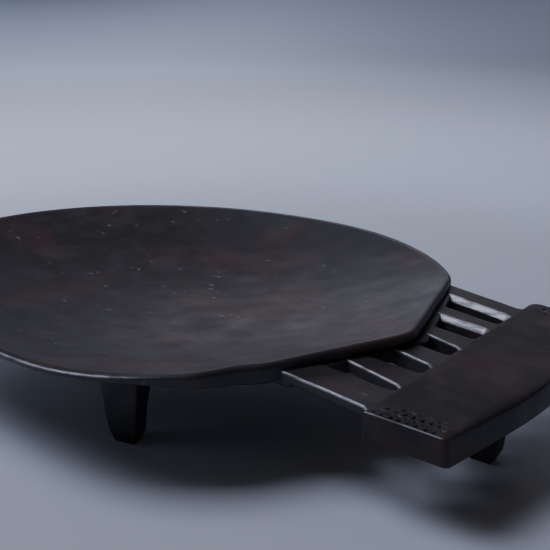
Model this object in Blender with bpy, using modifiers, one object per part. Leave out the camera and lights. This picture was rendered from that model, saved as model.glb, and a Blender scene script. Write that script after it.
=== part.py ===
"""Carved hardwood footed dish with a slatted handle.

Lengths are in metres. +X runs from the dish to the handle, +Z is up, and the dish stands on Z = 0.
The origin is below the middle of the whole carving. The near side is -Y.
"""

import math

import bmesh
import bpy
from mathutils import Matrix, Vector

# Fits
GAP = 0.0003                # air between a piece and its neighbour
DEEP = 0.0400               # how far a cutter runs past the wood that it cuts

# Plan of the dish: half an ellipse behind, a shorter one in front, cut to a blunt gable
BOWL_X = -0.02701           # middle of both ellipses
BOWL_Y = -0.00243
BOWL_REAR = 0.2145
BOWL_FRONT = 0.1940
BOWL_HALF_WIDTH = 0.1750
POINT_REACH = 0.1925        # from the middle of the dish to the point of the gable
POINT_Y = -0.0110
FLANK_FAR = math.radians(16.5)      # slope of each side of the gable across the handle
FLANK_NEAR = math.radians(23.8)
FLANK_BLEND = 0.0010        # softness of the corners of the gable
RIM_BULGES = (              # where the rim strays from an oval: angle, spread, height
    (math.radians(-64), math.radians(18), 0.0093),
    (math.radians(-36), math.radians(6), -0.0065),
    (math.radians(-96), math.radians(32), -0.0098),
)

# Section of the dish
RIM_Z = 0.0685              # height of the lip above the ground
LIP = 0.0260                # width of the lip, as a share of the radius
EDGE_PLAIN = 0.0034         # height of the upright edge round the back
EDGE_THICK = 0.0105         # and where it thickens beside the handle
EDGE_HANDLE = 0.0055        # and above the bars
EDGE_ANGLES = (60, 33, 31, 25)      # degrees from the handle: plain, thick, still thick, low again
BOWL_EDGE = EDGE_PLAIN
BOWL_DEPTH = 0.0270         # depth of the hollow
BOWL_BOTTOM = 0.0375        # depth of the underside below the lip
HOLLOW_POWER = 2.2
UNDERSIDE_POWER = 2.0
BOWL_STEPS = 96
HOLLOW_RINGS = 9
UNDERSIDE_RINGS = 8

# Handle: the tops of the bars and the grip lie in one plane that falls away from the dish
HANDLE_X = 0.16049          # where the plane is set out from, at the dish
HANDLE_Y = -0.00243
HANDLE_DROP = 0.0075        # top of the plane below the lip, there
HANDLE_FALL = math.radians(5.5)
LEDGE_POINT = (0.0059, 0.0035)      # point of the ledge, which is a gable too
LEDGE_FAR = math.radians(18.4)
LEDGE_NEAR = math.radians(18.0)
LEDGE_ENDS = (-0.0905, 0.0970)
LEDGE_INSET = 0.0130
LEDGE_THICKNESS = 0.0085

BAR_SIDES = (               # near and far side of each bar at the dish, then at the grip
    (-0.0900, -0.0670, -0.0916, -0.0668),
    (-0.0525, -0.0395, -0.0592, -0.0377),
    (-0.0205, -0.0053, -0.0249, -0.0058),
    (0.0123, 0.0257, 0.0078, 0.0252),
    (0.0430, 0.0590, 0.0430, 0.0568),
    (0.0780, 0.0955, 0.0727, 0.0912),
)
BAR_THICKNESSES = (0.0060, 0.0070, 0.0100, 0.0095, 0.0090, 0.0090)
BAR_WEAR = 0.0014           # width of the rounded edges
TENON_LENGTH = 0.0090
TENON_THICKNESS = 0.0030
TENON_SHOULDER = 0.0022     # how much narrower than its bar a tenon is, on each side
TENON_DEPTH = 0.0030        # middle of a tenon below the top of its bar
TENON_ROOT = 0.0030         # how far a tenon starts inside its bar

GRIP_X = 0.0245             # inner edge, measured along the plane of the handle
GRIP_Y = 0.0074
GRIP_INNER_LENGTH = 0.2072
GRIP_OUTER_LENGTH = 0.1990
GRIP_WIDTH = 0.0440         # at the ends
GRIP_POINT = 0.0150         # how much wider the blunt point in the middle makes it
GRIP_THICKNESS = 0.0155
GRIP_BATTER = 0.0035        # how much further out the outer face is below
GRIP_ARCH = 0.0020          # how much thinner the middle is
GRIP_CORNERS = (0.0040, 0.0035, 0.0500, 0.0060, 0.0090)     # roundings, from the near inner corner
GRIP_WEAR = 0.0010

# Legs: each is a tapered block, drawn in at the foot, with a round tenon
LEG_TOP = (0.0300, 0.0180)
LEG_ANKLE = (0.0188, 0.0113)
LEG_FOOT = (0.0125, 0.0078)
ANKLE_Z = 0.0070
LEG_TURN = 13.0             # degrees that a front leg is turned about its own axis
LEG_WEAR = 0.0012
LEG_TENON_RADIUS = 0.0045
LEG_OVERLAP = 0.0100        # how far a leg's block is drawn into its parent before it is cut
SHOULDER = 0.0060           # how far a tenon starts inside its leg
BOWL_LEG_REACH = 0.1205     # from the middle of the dish
BOWL_LEG_TENON = 0.0035
BOWL_LEGS = (("bowl_leg_near", -61.5), ("bowl_leg_far", 61.5), ("bowl_leg_rear", 180.0))
GRIP_LEG_X = 0.20714
GRIP_LEG_Y = -0.00423
GRIP_LEG_TENON = 0.0050

WOOD = (0.020, 0.014, 0.012, 1.0)


def remove_everything():
    """Start from an empty file."""
    for item in list(bpy.data.objects):
        bpy.data.objects.remove(item, do_unlink=True)


def new_collection(name):
    """A collection in the scene."""
    collection = bpy.data.collections.new(name)
    bpy.context.scene.collection.children.link(collection)
    return collection


def wood(name, lightness, roughness):
    """A dark oiled hardwood, a little lighter or darker from piece to piece."""
    material = bpy.data.materials.new(name)
    material.use_nodes = True
    shader = material.node_tree.nodes["Principled BSDF"]
    shader.inputs["Base Color"].default_value = [c * lightness for c in WOOD[:3]] + [1.0]
    shader.inputs["Roughness"].default_value = roughness
    shader.inputs["Metallic"].default_value = 0.0
    return material


def add_object(name, mesh, collection, material=None):
    """A named object for a mesh."""
    item = bpy.data.objects.new(name, mesh)
    collection.objects.link(item)
    if material:
        mesh.materials.clear()
        mesh.materials.append(material)
    return item


def applied(item, name):
    """Replace an object's curve or modifiers with a plain mesh object of the same place."""
    bpy.context.view_layer.update()
    graph = bpy.context.evaluated_depsgraph_get()
    mesh = bpy.data.meshes.new_from_object(item.evaluated_get(graph))
    edit = bmesh.new()
    edit.from_mesh(mesh)
    bmesh.ops.remove_doubles(edit, verts=edit.verts, dist=0.00001)
    edit.to_mesh(mesh)
    edit.free()
    collection = item.users_collection[0]
    place = item.matrix_world.copy()
    bpy.data.objects.remove(item, do_unlink=True)
    result = add_object(name, mesh, collection)
    result.matrix_world = place
    return result


def as_cutter(item):
    """Mark an object as a tool that shapes others."""
    item.hide_render = True
    item.display_type = "WIRE"
    return item


def boolean(item, tool, operation):
    """Add or take away another solid."""
    modifier = item.modifiers.new(operation.lower() + "_" + tool.name, "BOOLEAN")
    modifier.operation = operation
    modifier.object = tool
    modifier.solver = "EXACT"


def wear_edges(item, width, segments=2):
    """Round the sharp edges a little, as use does."""
    modifier = item.modifiers.new("worn_edges", "BEVEL")
    modifier.width = width
    modifier.segments = segments
    modifier.limit_method = "ANGLE"
    modifier.angle_limit = math.radians(40)


def shade_round(item, angle=35):
    """Smooth shading with crisp edges."""
    item.data.shade_smooth()
    item.data.set_sharp_from_angle(angle=math.radians(angle))


def soft_minimum(values, softness):
    """The smallest value, eased where two are nearly equal."""
    lowest = min(values)
    return lowest - softness * math.log(sum(math.exp((lowest - v) / softness) for v in values))


def ellipse_radius(angle, reach):
    """Radius of an ellipse about the middle of the dish."""
    return 1.0 / math.hypot(math.cos(angle) / reach, math.sin(angle) / BOWL_HALF_WIDTH)


def flank_radius(angle, slope):
    """Radius to a straight side of the gable, which passes through the point."""
    normal = Vector((math.cos(slope), math.sin(slope)))
    away = normal.dot((POINT_REACH, POINT_Y))
    facing = normal.dot((math.cos(angle), math.sin(angle)))
    return away / facing if facing > 0.2 else 10.0


def smooth_radius(angle):
    """Radius of the dish without its gable."""
    return ellipse_radius(angle, BOWL_FRONT if math.cos(angle) > 0 else BOWL_REAR)


def rim_radius(angle):
    """Radius of the rim."""
    oval = smooth_radius(angle)
    for middle, spread, height in RIM_BULGES:
        away = math.remainder(angle - middle, 2 * math.pi) / spread
        oval += height * math.exp(-away ** 2)
    return soft_minimum((oval, flank_radius(angle, FLANK_FAR), flank_radius(angle, -FLANK_NEAR)),
                        FLANK_BLEND)


def ease(value, low, high):
    """0 at low, 1 at high, eased between."""
    share = min(1.0, max(0.0, (value - low) / (high - low)))
    return share * share * (3.0 - 2.0 * share)


def edge_height(angle):
    """Height of the upright edge, which thickens on both sides of the handle."""
    turn_from_handle = abs(math.degrees(math.remainder(angle, 2 * math.pi)))
    plain, thick, still_thick, low = EDGE_ANGLES
    height = EDGE_PLAIN + (EDGE_THICK - EDGE_PLAIN) * ease(turn_from_handle, plain, thick)
    return height + (EDGE_HANDLE - EDGE_THICK) * ease(turn_from_handle, still_thick, low)


def hollow_z(share):
    """Height of the hollow, from the lip."""
    return -BOWL_DEPTH * (1.0 - min(1.0, share / (1.0 - LIP)) ** HOLLOW_POWER)


def bowl_section():
    """Half section of the dish as (share of the radius, height over the lip), from the hollow out."""
    lip_start = 1.0 - LIP
    points = []
    for ring in range(HOLLOW_RINGS + 1):
        share = math.sin(0.5 * math.pi * ring / HOLLOW_RINGS)
        points.append((share * lip_start, hollow_z(share * lip_start)))
    points.append((0.997, -0.0003))
    points.append((1.0, -0.0010))
    points.append((0.997, -BOWL_EDGE))
    for ring in range(1, UNDERSIDE_RINGS + 1):
        share = 0.99 * math.cos(0.5 * math.pi * ring / UNDERSIDE_RINGS)
        fall = 1.0 - share ** UNDERSIDE_POWER
        points.append((share if ring < UNDERSIDE_RINGS else 0.0,
                       -BOWL_EDGE - (BOWL_BOTTOM - BOWL_EDGE) * fall))
    return points


def turn(name, section, steps, collection):
    """Turn a section about Z."""
    mesh = bpy.data.meshes.new(name)
    edges = [(i, i + 1) for i in range(len(section) - 1)]
    mesh.from_pydata([(r, 0.0, z) for r, z in section], edges, [])
    item = add_object(name, mesh, collection)
    screw = item.modifiers.new("turn", "SCREW")
    screw.steps = steps
    screw.render_steps = steps
    screw.use_merge_vertices = True
    screw.merge_threshold = 0.00001
    return applied(item, name)


def shape_to_plan(item):
    """Stretch a turned dish of radius 1 to the plan of the rim; the gable fades towards the middle."""
    for vertex in item.data.vertices:
        share = math.hypot(vertex.co.x, vertex.co.y)
        angle = math.atan2(vertex.co.y, vertex.co.x)
        gable = share ** 5
        radius = rim_radius(angle) * gable + smooth_radius(angle) * (1.0 - gable)
        under = -vertex.co.z - BOWL_EDGE
        if under > -0.0001 and vertex.co.z < hollow_z(share) - 0.001:
            part = max(0.0, under) / (BOWL_BOTTOM - BOWL_EDGE)
            edge = edge_height(angle)
            vertex.co.z = -edge - (BOWL_BOTTOM - edge) * part
        vertex.co.x *= radius
        vertex.co.y *= radius


def flat_outline(name, points, thickness, collection):
    """A board of a flat outline, centred on its own plane."""
    curve = bpy.data.curves.new(name, "CURVE")
    curve.dimensions = "2D"
    curve.fill_mode = "BOTH"
    curve.extrude = 0.5 * thickness
    line = curve.splines.new("POLY")
    line.points.add(len(points) - 1)
    for point, (x, y) in zip(line.points, points):
        point.co = (x, y, 0.0, 1.0)
    line.use_cyclic_u = True
    item = bpy.data.objects.new(name, curve)
    collection.objects.link(item)
    return applied(item, name)


def box(name, low, high, collection):
    """A block between two corners."""
    low = Vector(low)
    high = Vector(high)
    edit = bmesh.new()
    bmesh.ops.create_cube(edit, size=1.0)
    bmesh.ops.scale(edit, vec=high - low, verts=edit.verts)
    bmesh.ops.translate(edit, vec=(low + high) / 2, verts=edit.verts)
    mesh = bpy.data.meshes.new(name)
    edit.to_mesh(mesh)
    edit.free()
    return add_object(name, mesh, collection)


def post(name, radius, bottom, top, collection):
    """An upright round post."""
    edit = bmesh.new()
    bmesh.ops.create_cone(edit, cap_ends=True, segments=20, radius1=radius, radius2=radius,
                          depth=top - bottom)
    bmesh.ops.translate(edit, vec=(0.0, 0.0, (top + bottom) / 2), verts=edit.verts)
    mesh = bpy.data.meshes.new(name)
    edit.to_mesh(mesh)
    edit.free()
    return add_object(name, mesh, collection)


def handle_plane():
    """Place of the top plane of the handle."""
    place = Matrix.Translation((HANDLE_X, HANDLE_Y, RIM_Z - HANDLE_DROP))
    return place @ Matrix.Rotation(HANDLE_FALL, 4, "Y")


def ledge_front(y):
    """Front of the ledge at a place across the handle, along the plane of the handle."""
    slope = LEDGE_FAR if y > LEDGE_POINT[1] else LEDGE_NEAR
    return LEDGE_POINT[0] - math.tan(slope) * abs(y - LEDGE_POINT[1])


def ledge(name, growth, inset, collection):
    """The ledge that the bars grow from, with an even margin."""
    near, far = LEDGE_ENDS[0] - growth, LEDGE_ENDS[1] + growth
    front = [(ledge_front(y) + growth, y) for y in (near, LEDGE_POINT[1], far)]
    back = [(x - growth - inset, y) for x, y in reversed(front)]
    item = flat_outline(name, front + back, LEDGE_THICKNESS + 2 * growth, collection)
    item.matrix_world = handle_plane() @ Matrix.Translation((0.0, 0.0, -0.5 * LEDGE_THICKNESS))
    return item


def bar_end(index, at_grip):
    """Middle and width of a bar at one of its ends."""
    near, far = BAR_SIDES[index][2 * at_grip:2 * at_grip + 2]
    return 0.5 * (near + far), far - near


def tenon(name, index, at_grip, margin, collection):
    """A bar's tenon, or with a margin the mortise that it fits in."""
    y, width = bar_end(index, at_grip)
    half = 0.5 * width - TENON_SHOULDER + margin
    if at_grip:
        start = GRIP_X - TENON_ROOT
        end = GRIP_X + TENON_LENGTH + margin
    else:
        wall = [ledge_front(y - half), ledge_front(y + half)]
        start = min(wall) - TENON_LENGTH - margin
        end = max(wall) + TENON_ROOT
    low = (start, y - half, -TENON_DEPTH - 0.5 * TENON_THICKNESS - margin)
    high = (end, y + half, -TENON_DEPTH + 0.5 * TENON_THICKNESS + margin)
    item = box(name, low, high, collection)
    item.matrix_world = handle_plane()
    return item


def make_bar(index, collection, cutters, clearance, material):
    """A bar of the handle with a tenon at each end."""
    name = "handle_bar_%d" % (index + 1)
    y, width = bar_end(index, 0)
    start = min(ledge_front(y - 0.5 * width), ledge_front(y + 0.5 * width))
    item = box(name, (start - TENON_ROOT, -0.5, -BAR_THICKNESSES[index]),
               (GRIP_X - GAP, 0.5, 0.0), collection)
    for vertex in item.data.vertices:
        y, width = bar_end(index, int(vertex.co.x > start))
        vertex.co.y = y + vertex.co.y * width
    item.data.materials.append(material)
    item.matrix_world = handle_plane()
    wear = item.modifiers.new("worn_edges", "BEVEL")
    wear.width = BAR_WEAR
    wear.segments = 2
    wear.limit_method = "WEIGHT"
    weights = item.data.attributes.new("bevel_weight_edge", "FLOAT", "EDGE")
    for edge in item.data.edges:
        ends = [item.data.vertices[i].co.x for i in edge.vertices]
        weights.data[edge.index].value = 1.0 if abs(ends[0] - ends[1]) > 0.001 else 0.0
    boolean(item, clearance, "DIFFERENCE")
    for at_grip, end in enumerate(("bowl", "grip")):
        tool = as_cutter(tenon("tenon_%d_%s" % (index + 1, end), index, at_grip, 0.0, cutters))
        boolean(item, tool, "UNION")
    shade_round(item)
    return item


def grip_outline():
    """Outline of the grip: straight towards the dish, a blunt point outside, rounded corners."""
    inner = 0.5 * GRIP_INNER_LENGTH
    outer = 0.5 * GRIP_OUTER_LENGTH
    corners = [(0.0, -inner), (GRIP_WIDTH, -outer), (GRIP_WIDTH + GRIP_POINT, 0.0),
               (GRIP_WIDTH, outer), (0.0, inner)]
    corners = [Vector(corner) for corner in corners]
    points = []
    for i, size in enumerate(GRIP_CORNERS):
        here = corners[i]
        before = (corners[i - 1] - here).normalized() * size
        after = (corners[(i + 1) % len(corners)] - here).normalized() * size
        for t in (0.0, 0.2, 0.4, 0.6, 0.8, 1.0):
            points.append(here + (1.0 - t) ** 2 * before + t ** 2 * after)
    return [(p.x + GRIP_X, p.y + GRIP_Y) for p in points]


def make_grip(collection, cutters, material):
    """The cross board, arched below and mortised for the bars."""
    item = flat_outline("grip", grip_outline(), GRIP_THICKNESS, collection)
    item.data.materials.append(material)
    for vertex in item.data.vertices:
        if vertex.co.z < 0.0:
            out = (vertex.co.x - GRIP_X) / GRIP_WIDTH
            vertex.co.x += GRIP_BATTER * min(1.0, max(0.0, out))
    item.matrix_world = handle_plane() @ Matrix.Translation((0.0, 0.0, -0.5 * GRIP_THICKNESS))
    wear_edges(item, GRIP_WEAR)
    half = 0.5 * GRIP_INNER_LENGTH
    radius = (half ** 2 + GRIP_ARCH ** 2) / (2 * GRIP_ARCH)
    edit = bmesh.new()
    bmesh.ops.create_cone(edit, cap_ends=True, segments=384, radius1=radius, radius2=radius,
                          depth=2 * DEEP + GRIP_WIDTH + GRIP_POINT)
    mesh = bpy.data.meshes.new("arch")
    edit.to_mesh(mesh)
    edit.free()
    arch = as_cutter(add_object("arch", mesh, cutters))
    arch.matrix_world = (handle_plane()
                         @ Matrix.Translation((GRIP_X + 0.5 * GRIP_WIDTH, GRIP_Y,
                                               GRIP_ARCH - GRIP_THICKNESS - radius))
                         @ Matrix.Rotation(math.radians(90), 4, "Y"))
    boolean(item, arch, "DIFFERENCE")
    for index in range(len(BAR_SIDES)):
        name = "mortise_%d_grip" % (index + 1)
        boolean(item, as_cutter(tenon(name, index, 1, GAP, cutters)), "DIFFERENCE")
    shade_round(item)
    return item


def leg_block(name, x, y, top, turn_by, collection):
    """A tapered block that stands on the ground."""
    item = box(name, (-0.5, -0.5, 0.0), (0.5, 0.5, top), collection)
    edit = bmesh.new()
    edit.from_mesh(item.data)
    bmesh.ops.bisect_plane(edit, geom=edit.verts[:] + edit.edges[:] + edit.faces[:],
                           plane_co=(0.0, 0.0, ANKLE_Z), plane_no=(0.0, 0.0, 1.0))
    edit.to_mesh(item.data)
    edit.free()
    sizes = {0.0: LEG_FOOT, ANKLE_Z: LEG_ANKLE, top: LEG_TOP}
    for vertex in item.data.vertices:
        size = sizes[min(sizes, key=lambda level: abs(level - vertex.co.z))]
        vertex.co.x *= size[0]
        vertex.co.y *= size[1]
    item.rotation_euler.z = math.radians(turn_by)
    item.location = (x, y, 0.0)
    wear_edges(item, LEG_WEAR)
    return item


def make_leg(name, place, top, tenon_span, parent, clearance, collection, cutters, material):
    """A leg that ends below its parent, with a round tenon in a socket."""
    x, y, turn_by = place
    shoulder, tenon_top = tenon_span
    leg = leg_block(name, x, y, top, turn_by, collection)
    leg.data.materials.append(material)
    boolean(leg, clearance, "DIFFERENCE")
    peg = as_cutter(post("peg_" + name, LEG_TENON_RADIUS, shoulder, tenon_top, cutters))
    peg.location = (x, y, 0.0)
    boolean(leg, peg, "UNION")
    socket = as_cutter(post("socket_" + name, LEG_TENON_RADIUS + GAP, shoulder, tenon_top + GAP,
                            cutters))
    socket.location = (x, y, 0.0)
    boolean(parent, socket, "DIFFERENCE")
    shade_round(leg)
    return leg


def underside_z(share, angle):
    """Height of the dish's underside at a share of its radius."""
    edge = edge_height(angle)
    return RIM_Z - edge - (BOWL_BOTTOM - edge) * (1.0 - share ** UNDERSIDE_POWER)


def make_bowl(collection, cutters, material):
    """The dish with its ledge."""
    bowl = turn("bowl", bowl_section(), BOWL_STEPS, collection)
    shape_to_plan(bowl)
    bowl.data.materials.append(material)
    bowl.location = (BOWL_X, BOWL_Y, RIM_Z)
    boolean(bowl, as_cutter(ledge("ledge", 0.0, LEDGE_INSET, cutters)), "UNION")
    for index in range(len(BAR_SIDES)):
        name = "mortise_%d_bowl" % (index + 1)
        boolean(bowl, as_cutter(tenon(name, index, 0, GAP, cutters)), "DIFFERENCE")
    shade_round(bowl, 50)
    return bowl


def underside_clearance(cutters):
    """The dish's outside moved down by the gap and closed above, for the legs' tops."""
    section = [(0.0, DEEP), (1.0, DEEP)]
    section += [(share, z - GAP) for share, z in bowl_section()[HOLLOW_RINGS + 3:]]
    item = turn("underside_clearance", section, BOWL_STEPS, cutters)
    shape_to_plan(item)
    item.location = (BOWL_X, BOWL_Y, RIM_Z)
    return as_cutter(item)


def grip_clearance(cutters):
    """The grip's arched underside moved down by the gap, for its leg's top."""
    item = box("grip_clearance", (GRIP_X - DEEP, -DEEP, GRIP_ARCH - GRIP_THICKNESS - GAP),
               (GRIP_X + GRIP_WIDTH + DEEP, DEEP, DEEP), cutters)
    item.matrix_world = handle_plane()
    return as_cutter(item)


def build():
    """Make every piece."""
    remove_everything()
    carving = new_collection("carved_footed_dish")
    cutters = new_collection("cutters")
    bowl = make_bowl(carving, cutters, wood("bowl_wood", 1.0, 0.42))
    bar_clearance = as_cutter(ledge("ledge_clearance", GAP, DEEP, cutters))
    for index in range(len(BAR_SIDES)):
        make_bar(index, carving, cutters, bar_clearance, wood("bar_wood_%d" % (index + 1), 1.1, 0.34))
    grip = make_grip(carving, cutters, wood("grip_wood", 1.2, 0.40))
    under_bowl = underside_clearance(cutters)
    for name, degrees in BOWL_LEGS:
        angle = math.radians(degrees)
        place = (BOWL_X + BOWL_LEG_REACH * math.cos(angle), BOWL_Y + BOWL_LEG_REACH * math.sin(angle),
                 -LEG_TURN * math.sin(angle))
        top = underside_z(BOWL_LEG_REACH / smooth_radius(angle), angle)
        make_leg(name, place, top + LEG_OVERLAP, (top - SHOULDER, top + BOWL_LEG_TENON), bowl,
                 under_bowl, carving, cutters, wood(name + "_wood", 0.8, 0.48))
    seat = handle_plane() @ Vector((GRIP_LEG_X - HANDLE_X, GRIP_LEG_Y - HANDLE_Y,
                                    GRIP_ARCH - GRIP_THICKNESS))
    make_leg("grip_leg", (GRIP_LEG_X, GRIP_LEG_Y, 0.0), seat.z + LEG_OVERLAP,
             (seat.z - SHOULDER, seat.z + GRIP_LEG_TENON), grip, grip_clearance(cutters),
             carving, cutters, wood("grip_leg_wood", 0.8, 0.48))


build()
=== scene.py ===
"""Looks of the carved footed dish: carved surfaces, dark oiled hardwood, a studio and the camera.

Lengths are in metres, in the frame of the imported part: +X from the dish to the handle, +Z up.
"""

import math

import bmesh
import bpy
import numpy as np
from mathutils import Matrix, Vector


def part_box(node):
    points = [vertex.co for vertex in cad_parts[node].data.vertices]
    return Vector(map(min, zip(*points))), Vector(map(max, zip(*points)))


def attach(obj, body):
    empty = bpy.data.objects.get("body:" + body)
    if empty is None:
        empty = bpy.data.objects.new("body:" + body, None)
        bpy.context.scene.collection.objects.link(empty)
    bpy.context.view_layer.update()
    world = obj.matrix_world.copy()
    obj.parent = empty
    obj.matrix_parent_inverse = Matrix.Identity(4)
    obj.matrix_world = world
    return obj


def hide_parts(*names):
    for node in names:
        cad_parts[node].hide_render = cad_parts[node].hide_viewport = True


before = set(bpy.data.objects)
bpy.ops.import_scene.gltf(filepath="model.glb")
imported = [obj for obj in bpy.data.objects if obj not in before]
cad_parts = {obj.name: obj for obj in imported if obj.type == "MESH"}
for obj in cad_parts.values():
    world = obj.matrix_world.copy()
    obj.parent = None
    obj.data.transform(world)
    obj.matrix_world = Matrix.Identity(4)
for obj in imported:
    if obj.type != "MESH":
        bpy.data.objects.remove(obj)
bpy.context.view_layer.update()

# Plan of the dish, as in the solids but with softer corners
BOWL_X = -0.02701
BOWL_Y = -0.00243
BOWL_REAR = 0.2145
BOWL_FRONT = 0.1940
BOWL_HALF_WIDTH = 0.1750
POINT_REACH = 0.1925
POINT_Y = -0.0110
FLANK_FAR = math.radians(16.5)
FLANK_NEAR = math.radians(23.8)
CORNER_SOFTNESS = 0.0018
RIM_BULGES = (              # middle and spread in degrees from the handle, then height
    (-64.0, 18.0, 0.0093),
    (-36.0, 6.0, -0.0065),
    (-96.0, 32.0, -0.0098),
)

# Section of the dish
RIM_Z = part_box("bowl")[1].z
LIP = 0.0260                # share of the radius
EDGE_PLAIN = 0.0034
EDGE_THICK = 0.0105
EDGE_HANDLE = 0.0055
EDGE_ANGLES = (60.0, 33.0, 31.0, 25.0)      # from the handle: plain, thick, still thick, low
RIM_ROUND_ANGLES = (-110.0, -60.0, -43.0, -30.0, 0.0, 32.0, 60.0, 120.0)    # degrees from the handle
RIM_ROUNDS = (0.0007, 0.0007, 0.0030, 0.0034, 0.0032, 0.0032, 0.0016, 0.0010)
UNDER_ROUND = 0.0012
HOLLOW_DEPTH = 0.0270
UNDERSIDE_DEPTH = 0.0375
HOLLOW_POWER = 2.2
DISH_STEPS = 480
HOLLOW_RINGS = 46
UNDERSIDE_RINGS = 40
RIM_ROUND_STEPS = 10
UNDER_ROUND_STEPS = 6
RIM_CLEARANCE = 0.00002     # how far the rim stays below the solid's top
RIM_WAVER = 0.0004          # how much hand carving moves the rim
HOLLOW_MARKS = 0.00010      # height of the gouge marks inside
HOLLOW_MARK_LENGTHS = (0.012, 0.030)
UNDERSIDE_MARKS = 0.00030   # height of the adze marks below
UNDERSIDE_MARK_LENGTH = 0.020
RIM_WEAR_AND_HIGHLIGHT_FROM = (-125.0, -95.0)     # degrees from the handle between which the worn rim's painted highlight starts
RIM_WEAR_AND_HIGHLIGHT_TO = (-60.0, -50.0)        # and between which it ends

# Handle
HANDLE_X = 0.16049
HANDLE_Y = -0.00243
HANDLE_DROP = 0.0075
HANDLE_FALL = math.radians(5.5)
LEDGE_POINT = (0.0059, 0.0035)
LEDGE_FAR = math.radians(18.4)
LEDGE_NEAR = math.radians(18.0)
LEDGE_ENDS = (-0.0900, 0.0965)
LEDGE_INSET = 0.0130
LEDGE_TOP = -0.0006
LEDGE_BOTTOM = -0.0084
LEDGE_ROUND = 0.0008

BAR_SIDES = (               # near and far side of each bar at the dish, then at the grip
    (-0.0900, -0.0670, -0.0916, -0.0668),
    (-0.0525, -0.0395, -0.0592, -0.0377),
    (-0.0205, -0.0053, -0.0249, -0.0058),
    (0.0123, 0.0257, 0.0078, 0.0252),
    (0.0430, 0.0590, 0.0430, 0.0568),
    (0.0780, 0.0955, 0.0727, 0.0912),
)
BAR_THICKNESSES = (0.0060, 0.0070, 0.0100, 0.0095, 0.0090, 0.0090)
BAR_NEAR_ROUND = (0.0009, 0.0009, 0.0009, 0.0009, 0.0036, 0.0038)
BAR_FACETS = (0.0, 0.0, 0.0, 0.0, 0.72, 0.72)       # how flat the worn near edge is
BAR_FAR_ROUND = 0.0010
BAR_UNDER_ROUND = 0.0014
BAR_FLARE = 0.0018          # how much a bar spreads where it meets the grip
BAR_FLARE_LENGTH = 0.0040
BAR_INTO_LEDGE = 0.0085
BAR_INTO_GRIP = 0.0015
BAR_WAVER = 0.00008         # how uneven a bar's faces are
BAR_STATIONS = 72

GRIP_X = 0.0245
GRIP_Y = 0.0074
GRIP_INNER_LENGTH = 0.2072
GRIP_OUTER_LENGTH = 0.1990
GRIP_WIDTH = 0.0440
GRIP_POINT = 0.0150
GRIP_THICKNESS = 0.0155
GRIP_BATTER = 0.0028        # how much further out the outer face is below
GRIP_ARCH = 0.0020
GRIP_CORNERS = (0.0018, 0.0035, 0.0500, 0.0060, 0.0090)
GRIP_WEAR = 0.0010
GRIP_OUTER_SOFTNESS = (0.0045, 0.0010)      # width and fall of the worn outer edge
GRIP_GRID = 0.0035          # spacing of the points on the flat faces
GRIP_RIPPLE = 0.00010       # how uneven the top is

# Chip carving along the two ends of the grip
CHIP_PITCH = 0.0046
CHIP_ROWS = (               # base and tip of each row, from the end of the grip
    (0.0016, 0.0048),
    (0.0081, 0.0049),
    (0.0087, 0.0122),
    (0.0148, 0.0121),
)
CHIP_MARGINS = {-1: (0.0048, 0.0042), 1: (0.0090, 0.0065)}      # bare wood beside the rows, near and far
CHIP_DEPTH = 0.0016
CHIP_SHALLOWEST = 0.45      # share of that depth
CHIP_HALF_WIDTH = 0.43      # share of the pitch
CHIP_CENTRE = 0.36          # where the deepest point lies, from base to tip
CHIP_JITTER = 0.00060
CHIP_OVERCUT = 1.16         # how much wider the cutting tool is above the wood

# Legs: half lengths and half widths at the sole, the ankle and the top
LEG_LEVELS = ((0.0, 0.0062, 0.0038), (0.0012, 0.0069, 0.0044), (0.0070, 0.0093, 0.0056))
LEG_TOP = (0.0150, 0.0090)
LEG_BLOCK_OVERLAP = 0.0100
LEG_ROUND = 0.0013
LEG_TURN = 13.0
BOWL_LEG_REACH = 0.1205
BOWL_LEGS = (("bowl_leg_near", -61.5), ("bowl_leg_far", 61.5), ("bowl_leg_rear", 180.0))
GRIP_LEG_PLACE = (0.20714, -0.00423)
LEG_ROOT = 0.0042           # how far a leg runs into the wood above it
LEG_FLARE = 0.0016
LEG_FLARE_HEIGHT = 0.006
LEG_WAVER = 0.00022         # how uneven a leg's faces are
LEG_WAVER_LENGTH = 0.022
LEG_POINT_SPACING = 0.0022
LEG_STATIONS = 60

# Colours of the wood, of the marks on it and of painted light
BLACK = (0.0162, 0.0140, 0.0150, 1.0)
DISH_BLACK = (0.0205, 0.0178, 0.0188, 1.0)
BROWN = (0.0360, 0.0205, 0.0195, 1.0)
# The legs' near-black, paler than the dish's: painted light for the floor's bounce on the legs
LEG_BLACK_PAINTED_BOUNCE = (0.0260, 0.0240, 0.0260, 1.0)
PORE = (0.004, 0.003, 0.003, 1.0)
# Colours of the dusty patches, also used for the painted sheen on the dish
DUST_AND_SHEEN = (0.046, 0.045, 0.051, 1.0)
RED_DUST_AND_SHEEN = (0.058, 0.040, 0.040, 1.0)
SPECK = (0.175, 0.172, 0.178, 1.0)
# Pale colour on the worn edges: a painted highlight
PAINTED_EDGE_HIGHLIGHT = (0.50, 0.48, 0.51, 1.0)

# Scale of each pattern in the wood, in repeats per metre
PATCH_SCALE = 17.0
STREAK_SCALE = 110.0
PORE_SCALE = 700.0
DUST_SCALE = 34.0
SPECK_SCALE = 150.0
SPECK_GROUP_SCALE = 62.0
WEAR_AND_HIGHLIGHT_SCALE = 420.0
GLOSS_SCALE = 48.0
GRAIN_STRETCH = (0.16, 1.0, 1.0)
SPECK_STRETCH = (0.50, 1.0, 1.0)
SPECK_TURN = (0.0, 0.0, 0.5)

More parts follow.
